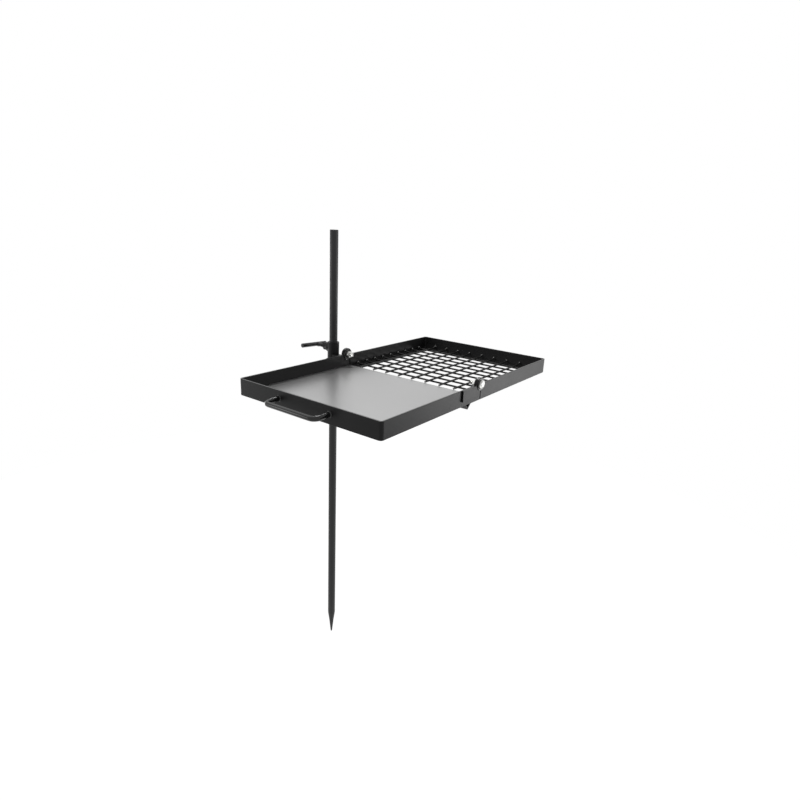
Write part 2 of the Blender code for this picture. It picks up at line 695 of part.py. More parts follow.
def main():
    clear_scene()
    stake_root = make_stake()
    make_stop_collar(stake_root)
    swivel = empty("swivel_axis", (0, 0, SLEEVE_BOTTOM), parent=stake_root)
    make_sleeve(swivel)
    tray = empty("tray_frame", (0, 0, -SLEEVE_BOTTOM), parent=swivel)
    make_griddle(tray)
    make_handle(tray)
    grate = empty("fold_axis", (PIVOT_X, 0, PIVOT_Z), parent=tray)
    make_grate(grate)
    make_hinge_bolt("stake_side", STAKE_SIDE, 1, tray)
    make_hinge_bolt("near_side", NEAR_SIDE, -1, tray)


main()
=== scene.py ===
"""The looks of a folding campfire grill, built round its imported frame.

Laid out as an add-on: the sizes and colours are properties, and each group of pieces has an
operator. main() runs them all in order.
"""

import math

import bmesh
import bpy
from bpy.props import FloatProperty, FloatVectorProperty, IntProperty, PointerProperty
from mathutils import Matrix, Vector


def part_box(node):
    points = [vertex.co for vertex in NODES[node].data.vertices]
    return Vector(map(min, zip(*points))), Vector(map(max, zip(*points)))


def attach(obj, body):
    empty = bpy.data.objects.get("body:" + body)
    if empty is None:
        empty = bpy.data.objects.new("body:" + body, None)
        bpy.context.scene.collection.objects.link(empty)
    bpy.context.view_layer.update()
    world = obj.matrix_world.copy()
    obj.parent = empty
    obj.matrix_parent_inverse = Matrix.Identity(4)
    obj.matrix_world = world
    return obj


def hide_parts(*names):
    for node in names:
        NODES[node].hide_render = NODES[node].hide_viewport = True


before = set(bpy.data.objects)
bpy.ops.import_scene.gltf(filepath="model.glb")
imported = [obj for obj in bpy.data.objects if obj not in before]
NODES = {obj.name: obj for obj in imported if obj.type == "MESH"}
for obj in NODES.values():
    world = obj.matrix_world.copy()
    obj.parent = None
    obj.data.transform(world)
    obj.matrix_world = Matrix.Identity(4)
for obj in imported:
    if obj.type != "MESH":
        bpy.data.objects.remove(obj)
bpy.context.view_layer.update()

bl_info = {
    "name": "Campfire Grill",
    "version": (1, 0, 0),
    "blender": (4, 5, 0),
    "location": "View3D > Sidebar > Grill",
    "description": "Finishes the steel, wire and fasteners of a folding campfire grill",
    "category": "Add Mesh",
}

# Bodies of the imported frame
STAKE, COLLAR, COLLAR_SCREW = "stake", "stop_collar", "stop_screw"
CARRIER, SLEEVE_SCREW, GRATE = "griddle_carrier", "sleeve_screw", "grate"

# The welded wires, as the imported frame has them
WIRE_RADIUS = 0.0020
CROSS_WIRE_HEIGHT, LONG_WIRE_HEIGHT = 0.7233, 0.7263
WIRE_FIRST_X, WIRE_PITCH_X, WIRES_ACROSS = 0.0519, 0.0300, 9
WIRE_FIRST_Y, WIRE_PITCH_Y, WIRES_ALONG = -0.0608, 0.0346, 9
WIRE_TURN_UP, WIRE_RISE, WIRE_BEND = 0.007, 0.0038, 0.003
WIRE_TIP, WIRE_BARE_END = 0.0020, 0.0022

# The stake: its tip as (radius, height), its point as shares of (radius, point's length), and
# its eased top as (less than the radius, below the top)
POINT_LENGTH, STAKE_ROWS = 0.060, 16
TIP_PROFILE = ((0, 0.0002), (0.0009, 0.0), (0.0014, 0.0006), (0.0021, 0.0028))
POINT_PROFILE = ((0.62, 0.60), (0.93, 0.93), (1.0, 1.02))
TOP_PROFILE = ((0.0, 0.0012), (0.0004, 0.0003), (0.0012, 0.0))

# The clamp screws. A thread's depth and the two ends of its crest are shares of its pitch.
THREAD_RADIUS, THREAD_LENGTH, THREAD_IN_NUT = 0.0048, 0.014, 0.004
THREAD_DEPTH, CREST_START, CREST_END = 0.55, 0.45, 0.60

# The hinge bolts. The rim is the straight share of a head's height, below its dome.
SHANK_RADIUS, HEAD_GAP, HEAD_RIM, HEAD_EDGE = 0.0040, 0.0003, 0.15, 0.0003
BOLT_THREAD_RADIUS = SHANK_RADIUS - 0.00005

# Radii of the small rounded edges, and the facets across one
SCREW_EDGE, ROD_EDGE, NUT_EDGE, BENT_EDGE = 0.0003, 0.0004, 0.0005, 0.0006
EDGE_SEGMENTS = 2

# A weld bead: the radius of its ends and troughs and the change from ripple to ripple, as shares
# of its radius, the angle by which that change moves on, and the places in a ripple's length
BEAD_END, BEAD_TROUGH, BEAD_SWELL, BEAD_BEAT = 0.45, 0.84, 0.10, 2.4
TROUGH_AT, CREST_AT = 0.30, 0.72
# How far a block bead lies inside the block's edge, off the tube and short of the block's ends
BEAD_IN, BEAD_OFF, BEAD_SHORT = 0.0006, 0.0004, 0.001
# How far a cross bar bead stays off the bar's edges, and how deep it goes as a share of the bar.
# Its place inside the bar's end and its width are shares of a weld's width.
BAR_BEAD_OFF, BAR_BEAD_DEPTH, BAR_BEAD_IN, BAR_BEAD_WIDTH = 0.004, 0.55, 0.45, 0.8
# Height of the weld at a wire crossing, as a share of its radius
WIRE_WELD_HEIGHT = 0.5

# Facets round a turned piece, and steps in the dome of a bolt's head and in a bend
STAKE_FACETS, BOLT_FACETS, SCREW_FACETS, THREAD_FACETS = 64, 40, 24, 20
BEAD_FACETS, DOME_STEPS, SCREW_BEND_STEPS, WIRE_BEND_STEPS = 10, 12, 10, 3

# What counts as a sharp edge, as one flat face, as the same point, as on a plane, and as a face
# that looks up
SHARP_EDGE = math.radians(35)
FLAT_ANGLE = math.radians(0.8)
SAME_POINT, ON_PLANE = 1e-6, 1e-5
LOOKS_UP = 0.8

# The stage. Each lamp has the setting that holds its power, its size, its place and its aim.
LAMPS = {
    "key": ("key_power", 1.6, (1.5, -2.2, 1.7), (0.0, -0.2, 0.7)),
    "low": ("low_power", 0.9, (1.9, -1.6, 0.35), (0.2, -0.3, 0.73)),
    "side": ("side_power", 0.8, (-1.7, 1.2, 0.9), (-0.1, 0.0, 0.75)),
    "back": ("back_power", 1.4, (0.5, 2.2, 0.30), (0.0, 0.0, 0.73)),
    "top": ("top_power", 2.0, (-0.2, 0.9, 2.6), (0.0, -0.2, 0.6)),
    "edge": ("edge_power", 0.30, (0.65, 0.55, 2.2), (-0.1, -0.2, 0.73)),
}
FLOOR_RADIUS, FLOOR_DROP, FLOOR_FACETS = 1.6, 0.001, 96
FLOOR_GREY = (0.8, 0.8, 0.8, 1.0)
CAMERA_SENSOR = 36.0
CAMERA_PLACE = (-0.89247, -0.85686, 1.03589)
CAMERA_FORWARD = (0.764678, 0.569473, -0.301610)
CAMERA_UP = (0.214842, 0.215971, 0.952470)
WHITE = (1.0, 1.0, 1.0, 1.0)


# ---- Sizes and colours that a user would change -------------------------------------------


class GrillSizes(bpy.types.PropertyGroup):
    """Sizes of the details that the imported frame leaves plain."""

    edge_round: FloatProperty(
        name="Edge rounding", description="Radius of the coated edges of bars and plates",
        default=0.0007, min=0.0001, unit="LENGTH", precision=5,
    )
    tube_edge: FloatProperty(
        name="Tube edge rounding", description="Radius of the edges of the tube's ends",
        default=0.0005, min=0.0001, unit="LENGTH", precision=5,
    )
    weld_width: FloatProperty(
        name="Weld width", description="Thickness of a weld bead",
        default=0.0042, min=0.001, unit="LENGTH", precision=5,
    )
    weld_ripple: FloatProperty(
        name="Weld ripple", description="Distance between the ripples of a weld bead",
        default=0.0030, min=0.001, unit="LENGTH", precision=5,
    )
    wire_sides: IntProperty(
        name="Wire sides", description="Facets round one wire of the grate",
        default=16, min=8, max=24,
    )
    wire_weld: FloatProperty(
        name="Wire weld", description="Radius of the weld where two wires cross",
        default=0.0026, min=0.001, unit="LENGTH", precision=5,
    )
    screw_pitch: FloatProperty(
        name="Screw thread pitch", description="Pitch of the clamp screws' threads",
        default=0.00150, min=0.0005, unit="LENGTH", precision=5,
    )
    bolt_pitch: FloatProperty(
        name="Bolt thread pitch", description="Pitch of the hinge bolts' threads",
        default=0.00125, min=0.0005, unit="LENGTH", precision=5,
    )


class GrillFinishes(bpy.types.PropertyGroup):
    """Colours and gloss of the finishes."""

    coat_colour: FloatVectorProperty(
        name="Coat", description="Black high-temperature coat of the frame and stake",
        default=(0.0085, 0.0085, 0.0088), size=3, min=0, max=1, subtype="COLOR",
    )
    coat_gloss: FloatProperty(
        name="Coat roughness", description="Roughness of the black coat",
        default=0.42, min=0, max=1, subtype="FACTOR",
    )
    coat_shine: FloatProperty(
        name="Coat shine", description="Strength of the black coat's reflections",
        default=0.16, min=0, max=1, subtype="FACTOR",
    )
    stake_shine: FloatProperty(
        name="Stake shine", description="Strength of the reflections on the stake's coat",
        default=0.32, min=0, max=1, subtype="FACTOR",
    )
    griddle_colour: FloatVectorProperty(
        name="Griddle", description="Smooth black coat of the griddle plate",
        default=(0.055, 0.055, 0.055), size=3, min=0, max=1, subtype="COLOR",
    )
    griddle_gloss: FloatProperty(
        name="Griddle roughness", description="Roughness of the griddle plate's coat",
        default=0.37, min=0, max=1, subtype="FACTOR",
    )
    wire_colour: FloatVectorProperty(
        name="Wire", description="Black coat of the welded wires",
        default=(0.012, 0.012, 0.012), size=3, min=0, max=1, subtype="COLOR",
    )
    zinc_colour: FloatVectorProperty(
        name="Zinc", description="Bright plating of the hinge bolts and nuts",
        default=(0.72, 0.72, 0.70), size=3, min=0, max=1, subtype="COLOR",
    )


class GrillStage(bpy.types.PropertyGroup):
    """Camera, lamps and floor."""

    lens: FloatProperty(
        name="Lens", description="Focal length of the camera, in millimetres",
        default=25.21, min=10, max=200,
    )
    key_power: FloatProperty(
        name="Key lamp", description="Power of the large soft lamp at the front right",
        default=8.0, min=0, subtype="POWER",
    )
    low_power: FloatProperty(
        name="Low lamp", description="Power of the soft lamp near the floor at the right",
        default=13.0, min=0, subtype="POWER",
    )
    side_power: FloatProperty(
        name="Side lamp", description="Power of the soft lamp at the left, behind the stake",
        default=6.5, min=0, subtype="POWER",
    )
    edge_power: FloatProperty(
        name="Edge lamp", description="Power of the small lamp behind that lights rims and rods",
        default=8.0, min=0, subtype="POWER",
    )
    back_power: FloatProperty(
        name="Back lamp", description="Power of the soft lamp near the floor behind the stake",
        default=16.0, min=0, subtype="POWER",
    )
    top_power: FloatProperty(
        name="Top lamp", description="Power of the soft lamp overhead",
        default=10.0, min=0, subtype="POWER",
    )
    surround: FloatProperty(
        name="Surround", description="Strength of the light from the white room",
        default=0.45, min=0, max=2,
    )
    floor_glow: FloatProperty(
        name="Floor glow", description="Share of the floor's white that no shadow takes away",
        default=0.80, min=0, max=1, subtype="FACTOR",
    )
    floor_white: FloatProperty(
        name="Floor white", description="Strength of that white, to make up for the shaded rest",
        default=1.15, min=0, max=2,
    )


def sizes():
    return bpy.context.scene.grill_sizes


def finishes():
    return bpy.context.scene.grill_finishes


# ---- Shader maths -------------------------------------------------------------------------


class Signal:
    """A value in a node tree. Sums and products of signals add Math nodes."""

    def __init__(self, nodes, socket):
        self.nodes = nodes
        self.socket = socket

    def _maths(self, operation, first, second):
        return self.nodes.node(
            "ShaderNodeMath", {"operation": operation}, {0: first, 1: second}
        )

    def __add__(self, other):
        return self._maths("ADD", self, other)

    def __radd__(self, other):
        return self._maths("ADD", other, self)

    def __mul__(self, other):
        return self._maths("MULTIPLY", self, other)

    def __rmul__(self, other):
        return self._maths("MULTIPLY", other, self)


class Nodes:
    """Adds nodes to one node tree."""

    def __init__(self, tree):
        self.tree = tree

    def node(self, kind, settings=None, inputs=None, output=0):
        """Adds a node: its settings first, then its sockets' values or links."""
        made = self.tree.nodes.new(kind)
        for name, value in (settings or {}).items():
            if name == "stops":
                self._stops(made.color_ramp, value)
            else:
                setattr(made, name, value)
        for name, value in (inputs or {}).items():
            self.feed(made.inputs[name], value)
        return Signal(self, made.outputs[output]) if made.outputs else None

    def feed(self, socket, value):
        """Links a signal to a socket, or sets the socket's value."""
        if isinstance(value, Signal):
            self.tree.links.new(value.socket, socket)
        else:
            socket.default_value = value

    def _stops(self, ramp, stops):
        while len(ramp.elements) < len(stops):
            ramp.elements.new(1.0)
        for element, (position, level) in zip(ramp.elements, stops):
            element.position = position
            element.color = (level, level, level, 1.0)

    def seen(self):
        """1 or more for a ray that shows: from the camera, in a reflection or through glass."""
        shown = self.node("ShaderNodeLightPath", output="Is Camera Ray")
        outputs = shown.socket.node.outputs
        for name in ("Is Glossy Ray", "Is Transmission Ray"):
            shown = shown + Signal(self, outputs[name])
        return shown


class Finish(Nodes):
    """One material, built on a Principled shader."""

    def __init__(self, name):
        self.material = bpy.data.materials.new(name)
        self.material.use_nodes = True
        super().__init__(self.material.node_tree)
        self.shader = self.tree.nodes["Principled BSDF"]

    def surface(self, **values):
        """Sets or links the shader's sockets. An underscore in a name stands for a space."""
        for name, value in values.items():
            self.feed(self.shader.inputs[name.replace("_", " ")], value)

    def noise(self, scale, detail=2.0, roughness=0.5):
        where = self.node("ShaderNodeTexCoord", output="Object")
        inputs = {"Vector": where, "Scale": scale, "Detail": detail, "Roughness": roughness}
        return self.node("ShaderNodeTexNoise", inputs=inputs)

    def levels(self, value, *stops):
        """Maps a value through grey stops, each (position, level)."""
        return self.node("ShaderNodeValToRGB", {"stops": stops}, {"Fac": value})

    def blend(self, share, first, second):
        """A colour from first to second by share."""
        return self.node(
            "ShaderNodeMix",
            {"data_type": "RGBA"},
            {"Factor": share, 6: (*first, 1.0), 7: (*second, 1.0)},
            output=2,
        )

    def bump(self, height, strength, distance):
        return self.node(
            "ShaderNodeBump",
            inputs={"Height": height, "Strength": strength, "Distance": distance},
        )


def shade(colour, factor):
    """A colour made lighter or darker."""
    return tuple(min(1.0, part * factor) for part in colour)


def coat_finish(name, colour, roughness, grain, mottle, shine):
    """Sprayed black coat on steel: a fine orange-peel grain under a faint cloudy unevenness."""
    finish = Finish(name)
    cloud = finish.noise(14.0, detail=3.0)
    peel = finish.noise(grain, detail=2.0, roughness=0.6)
    speck = finish.levels(finish.noise(2600.0, detail=1.0), (0.60, 0.0), (0.72, 1.0))
    share = finish.levels(cloud, (0.30, 0.0), (0.70, 1.0))
    colour_over = finish.blend(share, shade(colour, 1.0 - mottle), shade(colour, 1.0 + mottle))
    finish.surface(
        Base_Color=colour_over,
        Roughness=roughness - 0.05 + cloud * 0.08 + speck * 0.06,
        Metallic=0.0,
        Specular_IOR_Level=shine,
        Normal=finish.bump(peel + speck * 0.25, 0.35, 0.00006),
    )
    return finish.material


def griddle_finish():
    """The griddle's smooth glossy coat: wide soft clouds from the spray and a fine grain."""
    settings = finishes()
    finish = Finish("griddle_coat")
    cloud = finish.noise(7.0, detail=4.0, roughness=0.55)
    peel = finish.noise(700.0, detail=2.0)
    share = finish.levels(cloud, (0.25, 0.0), (0.75, 1.0))
    colour = tuple(settings.griddle_colour)
    finish.surface(
        Base_Color=finish.blend(share, shade(colour, 0.85), shade(colour, 1.2)),
        Roughness=settings.griddle_gloss + share * 0.05,
        Metallic=0.0,
        IOR=2.85,
        Coat_Weight=1.0,
        Coat_Roughness=settings.griddle_gloss - 0.10,
        Normal=finish.bump(peel, 0.2, 0.00004),
    )
    return finish.material


def cut_finish():
    """The bare sheared end of a wire."""
    finish = Finish("cut_steel")
    grain = finish.noise(2400.0, detail=2.0)
    finish.surface(
        Base_Color=finish.blend(grain, (0.22, 0.22, 0.22), (0.42, 0.42, 0.41)),
        Roughness=0.5,
        Metallic=0.7,
    )
    return finish.material


def zinc_finish():
    """Bright plating with a soft grain from the barrel."""
    settings = finishes()
    finish = Finish("zinc_plate")
    grain = finish.noise(1200.0, detail=3.0)
    cloud = finish.levels(finish.noise(190.0, detail=2.0), (0.40, 0.0), (0.58, 1.0))
    colour = tuple(settings.zinc_colour)
    finish.surface(
        Base_Color=finish.blend(cloud, shade(colour, 0.42), shade(colour, 1.15)),
        Roughness=0.20 + grain * 0.14,
        Metallic=1.0,
        Normal=finish.bump(grain, 0.15, 0.00004),
    )
    return finish.material


def build_finishes():
    """Every finish by its name."""
    settings = finishes()
    coat, wire = tuple(settings.coat_colour), tuple(settings.wire_colour)
    gloss, shine, bar = settings.coat_gloss, settings.coat_shine, settings.stake_shine
    # Each coat's colour, roughness, scale of its grain, strength of its clouds, and shine
    coats = {
        "black_coat": (coat, gloss, 620.0, 0.14, shine),
        "stake_coat": (shade(coat, 1.8), gloss - 0.02, 480.0, 0.2, bar),
        "weld_coat": (shade(coat, 1.1), gloss + 0.04, 900.0, 0.2, shine),
        "wire_coat": (wire, 0.42, 1500.0, 0.2, shine),
        # The coat made lighter for the faces that look up: a painted highlight along the tops of
        # rims, walls and tubes, with more shine
        "edge_coat": (shade(coat, 1.2), 0.36, 620.0, 0.14, 0.62),
        "rod_coat": (coat, 0.19, 620.0, 0.14, 0.34),
        "washer_black": (shade(coat, 0.9), 0.34, 800.0, 0.1, bar),
    }
    made = {name: coat_finish(name, *look) for name, look in coats.items()}
    made.update(griddle_coat=griddle_finish(), zinc=zinc_finish(), cut_steel=cut_finish())
    return made


MATERIALS = {}


def finish_named(name):
    if not MATERIALS:
        MATERIALS.update(build_finishes())
    return MATERIALS[name]


# ---- Piece helpers ------------------------------------------------------------------------


def piece(name, shape, body, finish, replaced=(), second=None):
    """Makes an object from a bmesh that is already in place, and fixes it to its body.

    second is the finish of the faces whose material index is 1.
    """
    mesh = bpy.data.meshes.new(name)
    shape.to_mesh(mesh)
    shape.free()
    mesh.shade_smooth()
    mesh.set_sharp_from_angle(angle=SHARP_EDGE)
    mesh.materials.append(finish_named(finish))
    if second:
        mesh.materials.append(finish_named(second))
    made = bpy.data.objects.new(name, mesh)
    bpy.context.scene.collection.objects.link(made)
    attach(made, body)
    if replaced:
        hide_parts(*replaced)
    return made


def rounded_copy(node, body, finish, radius, top=None):
    """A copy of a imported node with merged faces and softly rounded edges.

    top is the finish of its faces that look up.
    """
    shape = bmesh.new()
    shape.from_mesh(NODES[node].data)
    bmesh.ops.remove_doubles(shape, verts=shape.verts, dist=SAME_POINT)
    bmesh.ops.dissolve_limit(
        shape, angle_limit=FLAT_ANGLE, verts=shape.verts, edges=shape.edges
    )
    if top:
        for face in shape.faces:
            if face.normal.z > LOOKS_UP:
                face.material_index = 1
    made = piece(f"{node}_rounded", shape, body, finish, (node,), top)
    soften(made, radius)


def soften(made, radius):
    """Rounds an object's hard edges, and keeps its flat faces flat in the light."""
    bevel = made.modifiers.new("rounded edges", "BEVEL")
    bevel.width = radius
    bevel.segments = EDGE_SEGMENTS
    bevel.limit_method = "ANGLE"
    bevel.angle_limit = SHARP_EDGE
    bevel.harden_normals = True
    bevel.use_clamp_overlap = True


def lathe(profile, steps):
    """Spins (radius, height) points about Z into a closed solid of rotation."""
    shape = bmesh.new()
    corners = [shape.verts.new((radius, 0.0, height)) for radius, height in profile]
    edges = [shape.edges.new(pair) for pair in zip(corners, corners[1:])]
    bmesh.ops.spin(
        shape, geom=corners + edges, cent=(0, 0, 0), axis=(0, 0, 1),
        angle=2 * math.pi, steps=steps, use_merge=True,
    )
    bmesh.ops.remove_doubles(shape, verts=shape.verts, dist=SAME_POINT)
    bmesh.ops.recalc_face_normals(shape, faces=shape.faces)
    return shape


def placed(shape, matrix):
    bmesh.ops.transform(shape, matrix=matrix, verts=shape.verts)
    return shape


def pointing(place, direction):
    """A matrix that takes +Z to a direction and the origin to a place."""
    turn = Vector(direction).to_track_quat("Z", "Y").to_matrix().to_4x4()
    return Matrix.Translation(place) @ turn


def joined(shapes):
    """Several bmeshes as one."""
    whole = bmesh.new()
    for shape in shapes:
        scratch = bpy.data.meshes.new("scratch")
        shape.to_mesh(scratch)
        shape.free()
        whole.from_mesh(scratch)
        bpy.data.meshes.remove(scratch)
    return whole


def weld_bead(start, end, width):
    """A rippled bead from start to end, as a turned solid with a wavy profile."""
    ripple = sizes().weld_ripple
    start, end = Vector(start), Vector(end)
    length = (end - start).length
    count = max(2, round(length / ripple))
    radius = width / 2
    profile = [(0.0, 0.0), (radius * BEAD_END, radius * 0.10)]
    for index in range(count):
        low = length * index / count
        high = length * (index + 1) / count
        wide = radius * (1.0 + BEAD_SWELL * math.sin(index * BEAD_BEAT))
        profile.append((wide * BEAD_TROUGH, low + (high - low) * TROUGH_AT))
        profile.append((wide, low + (high - low) * CREST_AT))
    profile += [(radius * BEAD_END, length - radius * 0.05), (0.0, length)]
    profile.sort(key=lambda point: point[1])
    return placed(lathe(profile, BEAD_FACETS), pointing(start, end - start))


def wires_from_paths(paths, radius, sides):
    """Round wires along their paths, with flat ends, as one bmesh."""
    curve = bpy.data.curves.new("wires", "CURVE")
    curve.dimensions = "3D"
    curve.bevel_depth = radius
    curve.bevel_resolution = max(1, sides // 4)
    curve.use_fill_caps = True
    for path in paths:
        spline = curve.splines.new("POLY")
        spline.points.add(len(path) - 1)
        for point, place in zip(spline.points, path):
            point.co = (*place, 1.0)
    holder = bpy.data.objects.new("wires", curve)
    bpy.context.scene.collection.objects.link(holder)
    bpy.context.view_layer.update()
    graph = bpy.context.evaluated_depsgraph_get()
    mesh = bpy.data.meshes.new_from_object(holder.evaluated_get(graph))
    shape = bmesh.new()
    shape.from_mesh(mesh)
    bmesh.ops.remove_doubles(shape, verts=shape.verts, dist=SAME_POINT)
    bmesh.ops.recalc_face_normals(shape, faces=shape.faces)
    bpy.data.objects.remove(holder)
    bpy.data.curves.remove(curve)
    bpy.data.meshes.remove(mesh)
    return shape


def rounded_path(corners, radius, steps):
    """A path through corners, each turned with a bend of the given radius."""
    path = [Vector(corners[0])]
    for before, corner, after in zip(corners, corners[1:], corners[2:]):
        corner = Vector(corner)
        back = (Vector(before) - corner).normalized()
        forth = (Vector(after) - corner).normalized()
        half = back.angle(forth) / 2
        reach = radius / math.tan(half)
        centre = corner + (back + forth).normalized() * radius / math.sin(half)
        first, last = corner + back * reach, corner + forth * reach
        start, end = first - centre, last - centre
        whole = start.angle(end)
        for step in range(steps + 1):
            angle = whole * step / steps
            spread = math.sin(whole)
            arm = start * (math.sin(whole - angle) / spread) + end * (math.sin(angle) / spread)
            path.append(centre + arm)
    path.append(Vector(corners[-1]))
    return path


def threaded_bar(radius, pitch, length):
    """A bar along +Z with a real helical thread, cut flat at both ends."""
    turns = math.ceil(length / pitch) + 3
    shape = bmesh.new()
    profile = []
    for index in range(turns):
        base = (index - 2) * pitch
        profile.append((radius - pitch * THREAD_DEPTH, base))
        profile.append((radius, base + pitch * CREST_START))
        profile.append((radius, base + pitch * CREST_END))
    corners = [shape.verts.new((r, 0.0, z)) for r, z in profile]
    edges = [shape.edges.new(pair) for pair in zip(corners, corners[1:])]
    bmesh.ops.spin(
        shape, geom=corners + edges, cent=(0, 0, 0), axis=(0, 0, 1),
        angle=2 * math.pi, steps=THREAD_FACETS, dvec=(0, 0, pitch / THREAD_FACETS),
        use_merge=False,
    )
    bmesh.ops.remove_doubles(shape, verts=shape.verts, dist=SAME_POINT)
    for height, outer in ((0.0, False), (length, True)):
        bmesh.ops.bisect_plane(
            shape, geom=shape.verts[:] + shape.edges[:] + shape.faces[:], dist=SAME_POINT,
            plane_co=(0, 0, height), plane_no=(0, 0, 1),
            clear_outer=outer, clear_inner=not outer,
        )
        rim = [edge for edge in shape.edges if edge.is_boundary
               and all(abs(vert.co.z - height) < ON_PLANE for vert in edge.verts)]
        bmesh.ops.contextual_create(shape, geom=rim)
    bmesh.ops.recalc_face_normals(shape, faces=shape.faces)
    return shape


# ---- The pieces ---------------------------------------------------------------------------


class GRILL_OT_stake(bpy.types.Operator):
    """Turns the stake: a long bar with a forged point and an eased top"""

    bl_idname = "grill.stake"
    bl_label = "Stake"

    def execute(self, context):
        low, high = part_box("stake")
        radius = (high.x - low.x) / 2
        top = high.z
        profile = list(TIP_PROFILE)
        profile += [(radius * wide, POINT_LENGTH * up) for wide, up in POINT_PROFILE]
        for row in range(1, STAKE_ROWS):
            profile.append((radius, POINT_LENGTH + (top - POINT_LENGTH) * row / STAKE_ROWS))
        profile += [(radius - less, top - below) for less, below in TOP_PROFILE]
        profile.append((0, top))
        shape = lathe(profile, STAKE_FACETS)
        piece("stake_bar", shape, STAKE, "stake_coat", ("stake",))
        return {"FINISHED"}


class GRILL_OT_tubes(bpy.types.Operator):
    """Finishes the sleeve and the stop collar, with the nuts and beads that are welded on"""

    bl_idname = "grill.tubes"
    bl_label = "Sleeve and stop collar"

    def execute(self, context):
        edge = sizes().tube_edge
        # The faces of the sleeve and collar that look up get the lighter coat, a painted
        # highlight on their top rims
        for node, body in (("swivel_sleeve", CARRIER), ("stop_collar", COLLAR)):
            rounded_copy(node, body, "black_coat", edge, "edge_coat")
        for node, body in (("sleeve_nut", CARRIER), ("stop_collar_nut", COLLAR)):
            rounded_copy(node, body, "weld_coat", edge)
        rounded_copy("sleeve_block", CARRIER, "black_coat", edge)
        self.block_beads()
        return {"FINISHED"}

    def block_beads(self):
        """The beads down both sides of the block, where it meets the sleeve."""
        low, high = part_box("sleeve_block")
        bottom, top = low.z + BEAD_SHORT, high.z - BEAD_SHORT
        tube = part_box("swivel_sleeve")[1].x
        beads = []
        for x in (low.x + BEAD_IN, high.x - BEAD_IN):
            y = -math.sqrt(tube * tube - x * x) - BEAD_OFF
            beads.append(weld_bead((x, y, bottom), (x, y, top), sizes().weld_width))
        piece("sleeve_block_welds", joined(beads), CARRIER, "weld_coat")


class GRILL_OT_clamp_screws(bpy.types.Operator):
    """Makes the two clamp screws: one with a cross bar, one bent over"""

    bl_idname = "grill.clamp_screws"
    bl_label = "Clamp screws"

    def execute(self, context):
        rounded_copy("sleeve_screw", SLEEVE_SCREW, "rod_coat", SCREW_EDGE)
        rounded_copy("sleeve_screw_bar", SLEEVE_SCREW, "rod_coat", ROD_EDGE)
        self.bent_screw()
        for node, nut, body in (
            ("sleeve_screw", "sleeve_nut", SLEEVE_SCREW),
            ("stop_screw", "stop_collar_nut", COLLAR_SCREW),
        ):
            self.thread(node, nut, body)
        return {"FINISHED"}

    def thread(self, node, nut, body):
        """The threaded stretch of a clamp screw, just outside its nut."""
        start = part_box(nut)[1].y - THREAD_IN_NUT
        low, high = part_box(node)
        shape = threaded_bar(THREAD_RADIUS, sizes().screw_pitch, THREAD_LENGTH)
        placed(shape, pointing((0, start, (low.z + high.z) / 2), (0, 1, 0)))
        piece(f"{node}_thread", shape, body, "rod_coat")

    def bent_screw(self):
        """The stop collar's screw: a rod with its outer end bent over as a handle."""
        low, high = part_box("stop_screw")
        radius = (high.z - low.z) / 2
        height = (high.z + low.z) / 2
        line = high.y - radius
        corners = [(0, low.y, height), (0, line, height), (high.x, line, height)]
        path = rounded_path(corners, radius * 2, SCREW_BEND_STEPS)
        shape = wires_from_paths([path], radius, SCREW_FACETS)
        made = piece(
            "stop_screw_bent", shape, COLLAR_SCREW, "black_coat", ("stop_screw",)
        )
        soften(made, BENT_EDGE)


class GRILL_OT_griddle(bpy.types.Operator):
    """Finishes the griddle half: walls, plate, hinge plates, cross bar, handle and beads"""

    bl_idname = "grill.griddle"
    bl_label = "Griddle pan"

    def execute(self, context):
        edge = sizes().edge_round
        # The faces of the frame and hinge plates that look up get the lighter coat, a painted
        # highlight on their tops
        rounded_copy("griddle_frame", CARRIER, "black_coat", edge, "edge_coat")
        rounded_copy("griddle_plate", CARRIER, "black_coat", edge, "griddle_coat")
        for node in ("hinge_plate_stake_side", "hinge_plate_near_side"):
            rounded_copy(node, CARRIER, "black_coat", edge, "edge_coat")
        rounded_copy("cross_bar", CARRIER, "black_coat", edge)
        rounded_copy("handle", CARRIER, "rod_coat", ROD_EDGE)
        self.cross_bar_welds()
        return {"FINISHED"}

    def cross_bar_welds(self):
        """Two short beads at each end of the cross bar, along the edges of its legs."""
        low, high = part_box("cross_bar")
        width = sizes().weld_width
        middle, half = (low.x + high.x) / 2, (high.x - low.x) / 2
        top = high.z - BAR_BEAD_OFF
        bottom = high.z - (high.z - low.z) * BAR_BEAD_DEPTH - BEAD_SHORT
        beads = []
        for y in (low.y + width * BAR_BEAD_IN, high.y - width * BAR_BEAD_IN):
            for side in (-1, 1):
                upper = (middle + side * (half - BAR_BEAD_OFF), y, top)
                lower = (middle + side * BAR_BEAD_OFF, y, bottom)
                beads.append(weld_bead(upper, lower, width * BAR_BEAD_WIDTH))
        piece("cross_bar_welds", joined(beads), CARRIER, "weld_coat")


